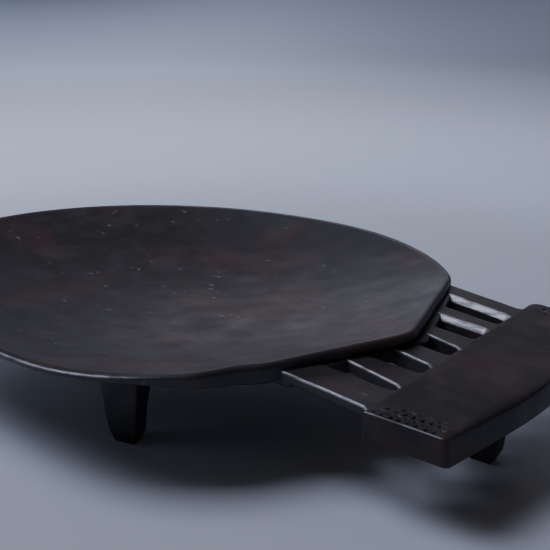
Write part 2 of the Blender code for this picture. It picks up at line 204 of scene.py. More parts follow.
# Studio: a flat floor that bends up into the backdrop
SWEEP_STEPS = 96
SWEEP_FLAT = 2.2
SWEEP_BEND = 0.9
SWEEP_TOP = (3.1, 3.0)      # radius and height
PAPER = ((0.440, 0.455, 0.500, 1.0), (0.457, 0.473, 0.519, 1.0))
# Paper painted lighter in a ring round the dish, darker far off and darker high up: painted light and shade
# for how the lamps fall off
PAPER_PAINTED_LIGHT = (0.560, 0.592, 0.684, 1.0)
PAPER_PAINTED_FALLOFF = (0.228, 0.245, 0.286, 1.0)
PAPER_PAINTED_SHADE = (0.03, 0.033, 0.04, 1.0)
SOFT_BOX_COLOUR = (0.875, 0.943, 1.18)
DAYLIGHT = (0.858, 0.953, 1.18)
SHEEN_COLOUR = (1.0, 0.93, 1.04)
WARM_FILL = (1.0, 0.78, 0.52)
SURROUND = (0.40, 0.31, 0.20, 1.0)

# Camera
CAMERA_AZIMUTH = math.radians(37.0)
CAMERA_ELEVATION = math.radians(17.4)
CAMERA_DISTANCE = 0.668
CAMERA_AIM = Vector((0.03589, 0.02794, 0.0685))
CAMERA_LENS = 65.45
CAMERA_SENSOR = 36.0


# ---- helpers -------------------------------------------------------------------------------------

def waves(points, length, seed, count=14):
    """Smooth uneven ripples of about this wavelength, of about unit height, at each point."""
    draw = np.random.default_rng(seed)
    directions = draw.normal(size=(count, 3))
    directions /= np.linalg.norm(directions, axis=1)[:, None]
    speeds = 2.0 * math.pi / length * draw.uniform(0.55, 1.5, count)
    phases = draw.uniform(0.0, 2.0 * math.pi, count)
    total = np.sin(points @ (directions * speeds[:, None]).T + phases).sum(axis=1)
    return total / math.sqrt(0.5 * count)


def smooth_step(value, low, high):
    """0 below low, 1 above high, eased between."""
    share = np.clip((value - low) / (high - low), 0.0, 1.0)
    return share * share * (3.0 - 2.0 * share)


def mesh_object(name, points, faces):
    """An object from points and faces."""
    mesh = bpy.data.meshes.new(name)
    mesh.from_pydata([tuple(p) for p in points], [], faces)
    mesh.update()
    item = bpy.data.objects.new(name, mesh)
    bpy.context.scene.collection.objects.link(item)
    return item


def loft(name, rings):
    """A closed skin over rings of points, with a flat cap at each end."""
    count = len(rings[0])
    points = np.concatenate(rings)
    faces = []
    for i in range(len(rings) - 1):
        for j in range(count):
            k = (j + 1) % count
            faces.append((i * count + j, i * count + k, (i + 1) * count + k, (i + 1) * count + j))
    faces.append(tuple(reversed(range(count))))
    last = (len(rings) - 1) * count
    faces.append(tuple(range(last, last + count)))
    return mesh_object(name, points, faces)


def face_out(item):
    """Turn every face outwards."""
    edit = bmesh.new()
    edit.from_mesh(item.data)
    bmesh.ops.recalc_face_normals(edit, faces=edit.faces)
    edit.to_mesh(item.data)
    edit.free()


def co_of(item):
    """Every vertex of an object as rows."""
    co = np.zeros(len(item.data.vertices) * 3)
    item.data.vertices.foreach_get("co", co)
    return co.reshape(-1, 3)


def set_co(item, co):
    """Move every vertex of an object."""
    item.data.vertices.foreach_set("co", co.ravel())
    item.data.update()


def set_wear_and_highlight(item, values):
    """Store how worn each vertex is, for the wood to read: it paints a pale highlight there and lowers the
    roughness.
    """
    attribute = item.data.attributes.new("wear_and_painted_highlight", "FLOAT", "POINT")
    attribute.data.foreach_set("value", np.asarray(values, float))


def cut(item, tool, operation):
    """Boolean another object into this one, and drop the other."""
    modifier = item.modifiers.new("cut", "BOOLEAN")
    modifier.operation = operation
    modifier.object = tool
    modifier.solver = "EXACT"
    bpy.context.view_layer.update()
    graph = bpy.context.evaluated_depsgraph_get()
    mesh = bpy.data.meshes.new_from_object(item.evaluated_get(graph))
    item.modifiers.clear()
    item.data = mesh
    bpy.data.objects.remove(tool)


def shade(item, angle):
    """Smooth shading with crisp edges above an angle."""
    item.data.shade_smooth()
    item.data.set_sharp_from_angle(angle=math.radians(angle))


def handle_plane():
    """Place of the top plane of the handle."""
    place = Matrix.Translation((HANDLE_X, HANDLE_Y, RIM_Z - HANDLE_DROP))
    return place @ Matrix.Rotation(HANDLE_FALL, 4, "Y")


def ledge_front(y):
    """Front of the ledge at a place across the handle, along the plane of the handle."""
    slope = LEDGE_FAR if y > LEDGE_POINT[1] else LEDGE_NEAR
    return LEDGE_POINT[0] - math.tan(slope) * abs(y - LEDGE_POINT[1])


def outline_board(name, outline, top, bottom):
    """A flat board from an outline, between two heights."""
    edit = bmesh.new()
    ring = [edit.verts.new((x, y, bottom)) for x, y in outline]
    face = edit.faces.new(ring)
    raised = bmesh.ops.extrude_face_region(edit, geom=[face])
    moved = [g for g in raised["geom"] if isinstance(g, bmesh.types.BMVert)]
    bmesh.ops.translate(edit, vec=(0.0, 0.0, top - bottom), verts=moved)
    bmesh.ops.recalc_face_normals(edit, faces=edit.faces)
    mesh = bpy.data.meshes.new(name)
    edit.to_mesh(mesh)
    edit.free()
    item = bpy.data.objects.new(name, mesh)
    bpy.context.scene.collection.objects.link(item)
    return item


def rounded(item, width, segments):
    """Round the sharp edges, applied."""
    edit = bmesh.new()
    edit.from_mesh(item.data)
    sharp = [e for e in edit.edges if e.calc_face_angle(0.0) > math.radians(30)]
    bmesh.ops.bevel(edit, geom=sharp, offset=width, segments=segments, profile=0.5,
                    affect="EDGES", clamp_overlap=True)
    edit.to_mesh(item.data)
    edit.free()


# ---- dish ----------------------------------------------------------------------------------------

def degrees_from_handle(angles):
    """Angles in degrees, from -180 to 180."""
    return (np.degrees(angles) + 180.0) % 360.0 - 180.0


def rim_radii(angles):
    """Radius of the rim, and radius of the same dish without its gable, at each angle."""
    reach = np.where(np.cos(angles) > 0, BOWL_FRONT, BOWL_REAR)
    smooth = 1.0 / np.hypot(np.cos(angles) / reach, np.sin(angles) / BOWL_HALF_WIDTH)
    oval = smooth.copy()
    for middle, spread, height in RIM_BULGES:
        away = degrees_from_handle(angles - math.radians(middle)) / spread
        oval += height * np.exp(-away ** 2)
    sides = [oval]
    for slope in (FLANK_FAR, -FLANK_NEAR):
        away = math.cos(slope) * POINT_REACH + math.sin(slope) * POINT_Y
        facing = math.cos(slope) * np.cos(angles) + math.sin(slope) * np.sin(angles)
        sides.append(np.where(facing > 0.2, away / np.maximum(facing, 0.2), 10.0))
    lowest = np.min(sides, axis=0)
    total = sum(np.exp((lowest - side) / CORNER_SOFTNESS) for side in sides)
    return lowest - CORNER_SOFTNESS * np.log(total), smooth


def edge_heights(angles):
    """Height of the upright edge at each angle."""
    turned = np.abs(degrees_from_handle(angles))
    plain, thick, still_thick, low = EDGE_ANGLES
    height = EDGE_PLAIN + (EDGE_THICK - EDGE_PLAIN) * smooth_step(-turned, -plain, -thick)
    return height + (EDGE_HANDLE - EDGE_THICK) * smooth_step(-turned, -still_thick, -low)


def underside_heights(share, edge):
    """Height of the underside over the lip at a share of the radius."""
    return -edge - (UNDERSIDE_DEPTH - edge) * (1.0 - share ** 2)


def dish_rings(angles):
    """Rings of the dish's skin as (radius, height over the lip), from the hollow round to below."""
    rim, smooth = rim_radii(angles)
    edge = edge_heights(angles)
    worn = np.interp(degrees_from_handle(angles), RIM_ROUND_ANGLES, RIM_ROUNDS)
    level = np.zeros(len(angles))

    def radius_at(share):
        gable = share ** 5
        return share * (rim * gable + smooth * (1.0 - gable))

    rings = []
    for ring in range(1, HOLLOW_RINGS + 1):
        share = math.sin(0.5 * math.pi * ring / HOLLOW_RINGS)
        fall = max(HOLLOW_DEPTH * (1.0 - share ** HOLLOW_POWER), 0.00012)
        rings.append((radius_at(share * (1.0 - LIP)), level - fall))
    lip = radius_at(1.0 - LIP)
    for share in (0.35, 0.7):
        rings.append((lip + (rim - worn - lip) * share, level - 0.00006 * (1.0 - share)))
    for step in range(RIM_ROUND_STEPS + 1):
        turn = 0.5 * math.pi * step / RIM_ROUND_STEPS
        rings.append((rim - worn * (1.0 - math.sin(turn)), -worn * (1.0 - math.cos(turn))))
    side = edge - worn - UNDER_ROUND
    for share in (0.33, 0.66):
        rings.append((rim, -worn - side * share))
    for step in range(UNDER_ROUND_STEPS + 1):
        turn = 0.5 * math.pi * step / UNDER_ROUND_STEPS
        rings.append((rim - UNDER_ROUND * (1.0 - math.cos(turn)),
                      -edge + UNDER_ROUND * (1.0 - math.sin(turn))))
    for ring in range(1, UNDERSIDE_RINGS):
        share = 0.99 * math.cos(0.5 * math.pi * ring / UNDERSIDE_RINGS)
        rings.append((radius_at(share), underside_heights(share, edge)))
    return rings


def turned_dish():
    """The dish on its own, before carving marks."""
    angles = np.linspace(-math.pi, math.pi, DISH_STEPS, endpoint=False)
    rings = []
    for radius, height in dish_rings(angles):
        rings.append(np.stack([BOWL_X + radius * np.cos(angles), BOWL_Y + radius * np.sin(angles),
                               RIM_Z + height], axis=1))
    points = np.concatenate([[[BOWL_X, BOWL_Y, RIM_Z - HOLLOW_DEPTH]]] + rings
                            + [[[BOWL_X, BOWL_Y, RIM_Z - UNDERSIDE_DEPTH]]])
    faces = []
    for j in range(DISH_STEPS):
        k = (j + 1) % DISH_STEPS
        faces.append((0, 1 + j, 1 + k))
        for i in range(len(rings) - 1):
            a = 1 + i * DISH_STEPS
            b = a + DISH_STEPS
            faces.append((a + j, b + j, b + k, a + k))
        last = 1 + (len(rings) - 1) * DISH_STEPS
        faces.append((last + k, last + j, len(points) - 1))
    item = mesh_object("dish", points, faces)
    face_out(item)
    return item


def plan_share(co):
    """How far out each point lies, as a share of the rim's radius there, and its angle."""
    x = co[:, 0] - BOWL_X
    y = co[:, 1] - BOWL_Y
    angle = np.arctan2(y, x)
    return np.hypot(x, y) / rim_radii(angle)[0], angle


def carve_by_hand(item):
    """Waver of the rim, gouge marks in the hollow and adze marks below."""
    fine_marks, broad_marks = HOLLOW_MARK_LENGTHS
    co = co_of(item)
    share, angle = plan_share(co)
    normals = np.zeros(len(co) * 3)
    item.data.vertices.foreach_get("normal", normals)
    upward = normals.reshape(-1, 3)[:, 2]
    around = np.stack([np.cos(angle), np.sin(angle), np.zeros(len(co))], axis=1)
    rim_part = smooth_step(share, 0.80, 1.0)
    drop = 0.5 + 0.5 * np.clip(waves(around, 0.9, 3) / 2.0, -1.0, 1.0)
    co[:, 2] -= RIM_WAVER * drop * rim_part
    pull = 0.5 + 0.5 * np.clip(waves(around, 0.5, 4) / 2.0, -1.0, 1.0)
    scale = 1.0 - RIM_WAVER / BOWL_HALF_WIDTH * pull * rim_part
    co[:, 0] = BOWL_X + (co[:, 0] - BOWL_X) * scale
    co[:, 1] = BOWL_Y + (co[:, 1] - BOWL_Y) * scale
    flat = np.stack([co[:, 0], co[:, 1], 0.0 * co[:, 0]], axis=1)
    inside = smooth_step(upward, 0.2, 0.7) * smooth_step(0.985 - share, 0.0, 0.05)
    bent = np.stack([share * 0.17, 0.25 * np.cos(angle) * share * 0.17,
                     0.25 * np.sin(angle) * share * 0.17], axis=1)
    marks = 0.6 * waves(bent, fine_marks, 5) + 0.6 * waves(flat, broad_marks, 6)
    co[:, 2] += HOLLOW_MARKS * inside * marks
    below = smooth_step(-upward, 0.2, 0.7)
    co[:, 2] += UNDERSIDE_MARKS * below * np.abs(waves(flat, UNDERSIDE_MARK_LENGTH, 7))
    co[:, 2] = np.minimum(co[:, 2], RIM_Z - RIM_CLEARANCE)
    set_co(item, co)


def make_dish():
    """The dish with its ledge for the bars."""
    item = turned_dish()
    carve_by_hand(item)
    near, far = LEDGE_ENDS
    front = [(ledge_front(y), y) for y in (near, LEDGE_POINT[1], far)]
    back = [(x - LEDGE_INSET, y) for x, y in reversed(front)]
    board = outline_board("ledge", front + back, LEDGE_TOP, LEDGE_BOTTOM)
    rounded(board, LEDGE_ROUND, 3)
    board.matrix_world = handle_plane()
    cut(item, board, "UNION")
    co = co_of(item)
    share, angle = plan_share(co)
    turned = degrees_from_handle(angle)
    # Near side of the rim's worn top: lower roughness and a painted highlight
    wear_and_highlight_part = smooth_step(turned, *RIM_WEAR_AND_HIGHLIGHT_FROM) * smooth_step(-turned, -RIM_WEAR_AND_HIGHLIGHT_TO[1], -RIM_WEAR_AND_HIGHLIGHT_TO[0])
    top = smooth_step(co[:, 2], RIM_Z - 0.0013, RIM_Z - 0.0005)
    set_wear_and_highlight(item, top * smooth_step(share, 0.990, 0.997) * wear_and_highlight_part)
    shade(item, 50)
    return item


# ---- handle --------------------------------------------------------------------------------------

def bar_end(index, at_grip):
    """Middle and width of a bar at one of its ends."""
    near, far = BAR_SIDES[index][2 * at_grip:2 * at_grip + 2]
    return 0.5 * (near + far), far - near


def corner_arc(middle, radius, start, steps=7):
    """Points on a quarter circle, going anticlockwise from an angle in degrees."""
    angles = [math.radians(start + 90.0 * i / steps) for i in range(steps + 1)]
    return [(middle[0] + radius * math.cos(a), middle[1] + radius * math.sin(a)) for a in angles]


def bar_section(half, near_round, thickness, facet):
    """Section across a bar as (y, z), with its top at 0.

    The near edge is the most worn: facet says how far its round is flattened, from 0 to 1.
    """
    low = -thickness
    under = BAR_UNDER_ROUND
    points = corner_arc((half - BAR_FAR_ROUND, -BAR_FAR_ROUND), BAR_FAR_ROUND, 0)
    points += [(half - BAR_FAR_ROUND - 0.0006, 0.0), (-half + near_round + 0.0006, 0.0)]
    arc = corner_arc((-half + near_round, -near_round), near_round, 90, 10)
    for i, (y, z) in enumerate(arc):
        share = i / (len(arc) - 1)
        chord = (-half + near_round * (1.0 - share), -near_round * share)
        points.append((y + (chord[0] - y) * facet, z + (chord[1] - z) * facet))
    points.append((-half, -near_round - 0.0005))
    points += corner_arc((-half + under, low + under), under, 180)
    points += corner_arc((half - under, low + under), under, 270)
    return np.array(points)


def make_bar(index):
    """One bar of the handle, running into the ledge and into the grip."""
    y0, width0 = bar_end(index, 0)
    y1, width1 = bar_end(index, 1)
    front = min(ledge_front(y0 - 0.5 * width0), ledge_front(y0 + 0.5 * width0))
    start = front - BAR_INTO_LEDGE
    end = GRIP_X + BAR_INTO_GRIP
    near_round = BAR_NEAR_ROUND[index]
    rings = []
    wear_and_painted_highlight = []
    for station in range(BAR_STATIONS + 1):
        x = start + (end - start) * station / BAR_STATIONS
        share = max(0.0, (x - front) / (GRIP_X - front))
        y = y0 + (y1 - y0) * share
        half = 0.5 * (width0 + (width1 - width0) * share)
        flare = max(0.0, 1.0 - (GRIP_X - x) / BAR_FLARE_LENGTH)
        half += BAR_FLARE * min(flare, 1.0) ** 2
        section = bar_section(half, near_round, BAR_THICKNESSES[index], BAR_FACETS[index])
        ring = np.stack([np.full(len(section), x), y + section[:, 0], section[:, 1]], axis=1)
        rings.append(ring)
        # The near top edge: lower roughness and a painted highlight
        near_top = (section[:, 0] < -half + near_round + 0.0001) & (section[:, 1] > -near_round)
        wear_and_painted_highlight.append(near_top.astype(float))
    item = loft("handle_bar_%d_wood" % (index + 1), rings)
    co = co_of(item)
    along = co * np.array([1.0, 0.35, 0.6])
    co[:, 1] += BAR_WAVER * waves(along, 0.050, 20 + index)
    co[:, 2] -= BAR_WAVER * np.abs(waves(along, 0.030, 40 + index))
    set_co(item, co)
    item.data.transform(handle_plane())
    face_out(item)
    set_wear_and_highlight(item, np.concatenate(wear_and_painted_highlight))
    shade(item, 60)
    return item


def grip_outline():
    """Outline of the grip: straight towards the dish, a blunt point outside, rounded corners."""
    inner = 0.5 * GRIP_INNER_LENGTH
    outer = 0.5 * GRIP_OUTER_LENGTH
    corners = [(0.0, -inner), (GRIP_WIDTH, -outer), (GRIP_WIDTH + GRIP_POINT, 0.0),
               (GRIP_WIDTH, outer), (0.0, inner)]
    corners = [Vector(corner) for corner in corners]
    points = []
    for i, size in enumerate(GRIP_CORNERS):
        here = corners[i]
        before = (corners[i - 1] - here).normalized() * size
        after = (corners[(i + 1) % len(corners)] - here).normalized() * size
        steps = 20 if size > 0.02 else 7
        for step in range(steps + 1):
            t = step / steps
            points.append(here + (1.0 - t) ** 2 * before + t ** 2 * after)
    return [(p.x + GRIP_X, p.y + GRIP_Y) for p in points]


def slice_evenly(item, spacing):
    """Cut flat faces into a grid, so that they can be shaped."""
    edit = bmesh.new()
    edit.from_mesh(item.data)
    co = co_of(item)
    for axis in (0, 1):
        low, high = co[:, axis].min(), co[:, axis].max()
        count = int((high - low) / spacing)
        for i in range(1, count):
            place = [0.0, 0.0, 0.0]
            normal = [0.0, 0.0, 0.0]
            place[axis] = low + (high - low) * i / count
            normal[axis] = 1.0
            bmesh.ops.bisect_plane(edit, geom=edit.verts[:] + edit.edges[:] + edit.faces[:],
                                   plane_co=place, plane_no=normal)
    edit.to_mesh(item.data)
    edit.free()


def chip_tool(name):
    """Three-sided pits of uneven depth, in rows along each end of the grip."""
    draw = np.random.default_rng(8)
    edit = bmesh.new()
    for side in (-1, 1):
        inner = Vector((GRIP_X, GRIP_Y + side * 0.5 * GRIP_INNER_LENGTH))
        outer = Vector((GRIP_X + GRIP_WIDTH, GRIP_Y + side * 0.5 * GRIP_OUTER_LENGTH))
        along = (outer - inner).normalized()
        inward = Vector((-along.y, along.x)) * -side
        length = (outer - inner).length
        before, after = CHIP_MARGINS[side]
        for row, (base, tip) in enumerate(CHIP_ROWS):
            middle = before + 0.5 * CHIP_PITCH * row
            while middle < length - after:
                half = CHIP_HALF_WIDTH * CHIP_PITCH
                jitter = draw.uniform(-1.0, 1.0, 6) * CHIP_JITTER
                depth = CHIP_DEPTH * draw.uniform(CHIP_SHALLOWEST, 1.0)
                corners = [(middle - half + jitter[0], base + jitter[1]),
                           (middle + half + jitter[2], base + jitter[3]),
                           (middle + jitter[4], tip + jitter[5])]
                centre = (middle, base + CHIP_CENTRE * (tip - base))
                ring = []
                for a, b in corners:
                    a = centre[0] + (a - centre[0]) * CHIP_OVERCUT
                    b = centre[1] + (b - centre[1]) * CHIP_OVERCUT
                    flat = inner + along * a + inward * b
                    ring.append(edit.verts.new((flat.x, flat.y, (CHIP_OVERCUT - 1.0) * CHIP_DEPTH)))
                flat = inner + along * centre[0] + inward * centre[1]
                point = edit.verts.new((flat.x, flat.y, -depth))
                edit.faces.new(ring)
                for i in range(3):
                    edit.faces.new((ring[i], ring[(i + 1) % 3], point))
                middle += CHIP_PITCH
    bmesh.ops.recalc_face_normals(edit, faces=edit.faces)
    mesh = bpy.data.meshes.new(name)
    edit.to_mesh(mesh)
    edit.free()
    item = bpy.data.objects.new(name, mesh)
    bpy.context.scene.collection.objects.link(item)
    return item


def make_grip():
    """The cross board: slightly uneven, arched below, chip carved at both ends."""
    item = outline_board("grip_wood", grip_outline(), 0.0, -GRIP_THICKNESS)
    rounded(item, GRIP_WEAR, 4)
    slice_evenly(item, GRIP_GRID)
    co = co_of(item)
    across = (co[:, 1] - GRIP_Y) / (0.5 * GRIP_INNER_LENGTH)
    depth = np.clip(-co[:, 2] / GRIP_THICKNESS, 0.0, 1.0)
    out = (co[:, 0] - GRIP_X) / GRIP_WIDTH
    co[:, 0] += GRIP_BATTER * depth * np.clip(out, 0.0, 1.0)
    co[:, 2] += GRIP_ARCH * depth ** 2 * (1.0 - np.clip(across, -1.0, 1.0) ** 2)
    outer_edge = GRIP_X + GRIP_WIDTH + GRIP_POINT * (1.0 - np.clip(np.abs(across), 0.0, 1.0))
    near_edge = np.clip(1.0 - (outer_edge - co[:, 0]) / GRIP_OUTER_SOFTNESS[0], 0.0, 1.0)
    co[:, 2] -= GRIP_OUTER_SOFTNESS[1] * near_edge ** 2 * (1.0 - depth)
    co[:, 2] -= GRIP_RIPPLE * np.abs(waves(co, 0.034, 9)) * (1.0 - depth)
    set_co(item, co)
    cut(item, chip_tool("chips"), "DIFFERENCE")
    item.data.transform(handle_plane())
    face_out(item)
    local = co_of(item) @ np.array(handle_plane().inverted().to_3x3()).T
    local += np.array(handle_plane().inverted().translation)
    outward = np.clip((local[:, 0] - GRIP_X) / GRIP_WIDTH, 0.0, 1.0)
    half_length = 0.5 * (GRIP_INNER_LENGTH + (GRIP_OUTER_LENGTH - GRIP_INNER_LENGTH) * outward)
    ends = np.abs(local[:, 1] - GRIP_Y) - half_length
    near_end = local[:, 1] < GRIP_Y
    # Top edge of the near end: lower roughness and a painted highlight
    top_edge = smooth_step(local[:, 2], -0.0008, -0.0002) * smooth_step(ends, -0.0010, -0.0004)
    set_wear_and_highlight(item, top_edge * near_end)
    shade(item, 28)
    return item


# ---- legs ----------------------------------------------------------------------------------------

def rounded_rectangle(half_length, half_width, radius, steps=4):
    """Points round a rectangle with rounded corners."""
    points = []
    for start, sx, sy in ((0, 1, 1), (90, -1, 1), (180, -1, -1), (270, 1, -1)):
        middle = (sx * (half_length - radius), sy * (half_width - radius))
        points += corner_arc(middle, radius, start, steps)
    dense = []
    for i, here in enumerate(points):
        after = points[(i + 1) % len(points)]
        gap = math.dist(here, after)
        parts = max(1, round(gap / LEG_POINT_SPACING))
        dense += [(here[0] + (after[0] - here[0]) * k / parts,
                   here[1] + (after[1] - here[1]) * k / parts) for k in range(parts)]
    return np.array(dense)


def make_leg(name, place, turn_by, seat, seed):
    """A tapered leg, drawn in at the foot and spread where it meets the wood above."""
    top = seat + LEG_ROOT
    block_top = seat + LEG_BLOCK_OVERLAP
    levels = list(LEG_LEVELS) + [(block_top, LEG_TOP[0], LEG_TOP[1])]
    heights, lengths, widths = (np.array(column) for column in zip(*levels))
    turned = Matrix.Rotation(math.radians(turn_by), 3, "Z")
    base = rounded_rectangle(LEG_TOP[0], LEG_TOP[1], LEG_ROUND)
    rings = []
    for station in range(LEG_STATIONS + 1):
        z = top * station / LEG_STATIONS
        half_length = float(np.interp(z, heights, lengths))
        half_width = float(np.interp(z, heights, widths))
        near_seat = max(0.0, 1.0 - (seat - z) / LEG_FLARE_HEIGHT) if z < seat else 1.0
        spread = LEG_FLARE * near_seat ** 2
        ring = base * np.array([(half_length + spread) / LEG_TOP[0], (half_width + spread) / LEG_TOP[1]])
        ring = np.stack([ring[:, 0], ring[:, 1], np.full(len(base), z)], axis=1)
        rings.append(ring @ np.array(turned).T + np.array([place[0], place[1], 0.0]))
    item = loft(name, rings)
    co = co_of(item)
    grow = smooth_step(co[:, 2], 0.001, 0.006)
    co[:, 0] += LEG_WAVER * grow * waves(co, LEG_WAVER_LENGTH, seed)
    co[:, 1] += LEG_WAVER * grow * waves(co, LEG_WAVER_LENGTH, seed + 1)
    set_co(item, co)
    face_out(item)
    set_wear_and_highlight(item, np.zeros(len(co)))
    shade(item, 40)
    return item


# ---- wood ----------------------------------------------------------------------------------------

class Nodes:
    """Short ways to add and join shader nodes."""

    def __init__(self, tree):
        self.tree = tree

    def add(self, kind, inputs=None, **settings):
        node = self.tree.nodes.new(kind)
        for key, value in settings.items():
            setattr(node, key, value)
        for key, value in (inputs or {}).items():
            self.put(node.inputs[key], value)
        return node

    def put(self, socket, value):
        if isinstance(value, bpy.types.NodeSocket):
            self.tree.links.new(value, socket)
        else:
            socket.default_value = value

    def maths(self, operation, a, b=0.0, clamp=False):
        node = self.add("ShaderNodeMath", {0: a, 1: b}, operation=operation, use_clamp=clamp)
        return node.outputs[0]

    def mix(self, share, a, b):
        node = self.add("ShaderNodeMix", {0: share, 6: a, 7: b}, data_type="RGBA")
        return node.outputs[2]

    def spread(self, value, low, high, to_low=0.0, to_high=1.0):
        node = self.add("ShaderNodeMapRange", {0: value, 1: low, 2: high, 3: to_low, 4: to_high},
                        interpolation_type="SMOOTHSTEP")
        return node.outputs[0]

    def scaled(self, source, scale, turn_by=(0.0, 0.0, 0.0)):
        node = self.add("ShaderNodeMapping", {"Vector": source, "Scale": scale, "Rotation": turn_by})
        return node.outputs[0]

    def noise(self, where, scale, detail=3.0, roughness=0.5, distortion=0.0):
        node = self.add("ShaderNodeTexNoise", {"Vector": where, "Scale": scale, "Detail": detail,
                                               "Roughness": roughness, "Distortion": distortion})
        return node.outputs["Fac"]


def wood(name, dark, red, gloss, specular, seed, specks=1.0, painted_sheen=0.0):
    """Old oiled hardwood: near-black with red-brown patches, fine pores along X, dusty patches, specks,
    worn edges and painted light.

    gloss is the mean roughness, specks the strength of the pale specks, and the last argument how much
    paler the dish is painted towards the far side of the handle: a painted sheen. The worn edges get a pale
    painted highlight.
    """
    material = bpy.data.materials.new(name)
    material.use_nodes = True
    tree = material.node_tree
    shader = tree.nodes["Principled BSDF"]
    n = Nodes(tree)
    where = n.add("ShaderNodeTexCoord").outputs["Object"]
    offset = n.add("ShaderNodeVectorMath", {0: where, 1: (seed * 0.37, seed * 0.71, seed * 0.13)},
                   operation="ADD").outputs[0]
    long_grain = n.scaled(offset, GRAIN_STRETCH)
    wear_and_painted_highlight = n.add("ShaderNodeAttribute", attribute_name="wear_and_painted_highlight").outputs["Fac"]

    patches = n.noise(offset, PATCH_SCALE, 5.0, 0.58, 0.4)
    streaks = n.noise(long_grain, STREAK_SCALE, 4.0, 0.6)
    fine = n.noise(long_grain, PORE_SCALE, 3.0, 0.6)
    blend = n.maths("ADD", n.maths("MULTIPLY", patches, 0.85), n.maths("MULTIPLY", streaks, 0.15))
    redness = n.spread(blend, 0.48, 0.62)
    colour = n.mix(redness, dark, red)
    colour = n.mix(n.spread(fine, 0.35, 0.70, 0.07, 0.0), colour, PORE)

    speck_grid = n.scaled(offset, SPECK_STRETCH, SPECK_TURN)
    cells = n.add("ShaderNodeTexVoronoi", {"Vector": speck_grid, "Scale": SPECK_SCALE}).outputs["Distance"]
    rare = n.spread(n.noise(offset, SPECK_GROUP_SCALE, 2.0), 0.53, 0.63)
    marks = n.maths("MULTIPLY", n.maths("MULTIPLY", n.spread(cells, 0.23, 0.08), rare), specks, True)
    dust_and_sheen = n.spread(n.noise(offset, DUST_SCALE, 4.0, 0.6), 0.46, 0.68, 0.0, 0.36)
    parts = n.add("ShaderNodeSeparateXYZ", {0: where})
    to_handle = n.maths("ADD", n.maths("MULTIPLY", parts.outputs["X"], 0.50),
                        n.maths("MULTIPLY", parts.outputs["Y"], 0.86))
    # Paler towards the far side of the handle: a painted sheen on the dish, added to the dusty patches
    dust_and_sheen = n.maths("ADD", dust_and_sheen, n.spread(to_handle, 0.0, 0.13, 0.0, painted_sheen))
    colour = n.mix(dust_and_sheen, colour, n.mix(redness, DUST_AND_SHEEN, RED_DUST_AND_SHEEN))
    colour = n.mix(n.maths("MULTIPLY", marks, 0.70), colour, SPECK)
    # Worn edges: a pale painted highlight in the colour, and lower roughness below
    worn = n.maths("MULTIPLY", wear_and_painted_highlight, n.spread(n.noise(long_grain, WEAR_AND_HIGHLIGHT_SCALE, 3.0), 0.38, 0.56, 0.25, 1.0))
    colour = n.mix(n.maths("MULTIPLY", worn, 0.60), colour, PAINTED_EDGE_HIGHLIGHT)
    n.put(shader.inputs["Base Color"], colour)

    uneven = n.noise(offset, GLOSS_SCALE, 5.0, 0.6)
    rough = n.maths("ADD", gloss, n.maths("MULTIPLY", n.maths("SUBTRACT", uneven, 0.5), 0.36))
    rough = n.maths("SUBTRACT", rough, n.maths("MULTIPLY", worn, gloss - 0.17), True)
    n.put(shader.inputs["Roughness"], rough)

    pores = n.maths("MULTIPLY", n.spread(fine, 0.62, 0.42), -0.09)
    height = n.maths("ADD", pores, n.maths("MULTIPLY", streaks, 0.07))
    height = n.maths("SUBTRACT", height, n.maths("MULTIPLY", marks, 0.6))
    height = n.maths("ADD", height, n.maths("MULTIPLY", uneven, 1.5))
    bump = n.add("ShaderNodeBump", {"Strength": 0.35, "Distance": 0.0004, "Height": height})
    n.put(shader.inputs["Normal"], bump.outputs[0])
    shader.inputs["Metallic"].default_value = 0.0
    shader.inputs["IOR"].default_value = 1.50
    shader.inputs["Specular IOR Level"].default_value = specular
    shader.inputs["Coat Weight"].default_value = 0.05
    shader.inputs["Coat Roughness"].default_value = 0.30
    return material


def finish_piece(item, material, node):
    """Give a piece its wood, its body, and the solid that it stands for."""
    item.data.materials.clear()
    item.data.materials.append(material)
    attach(item, "root")
    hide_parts(node)


# ---- studio --------------------------------------------------------------------------------------

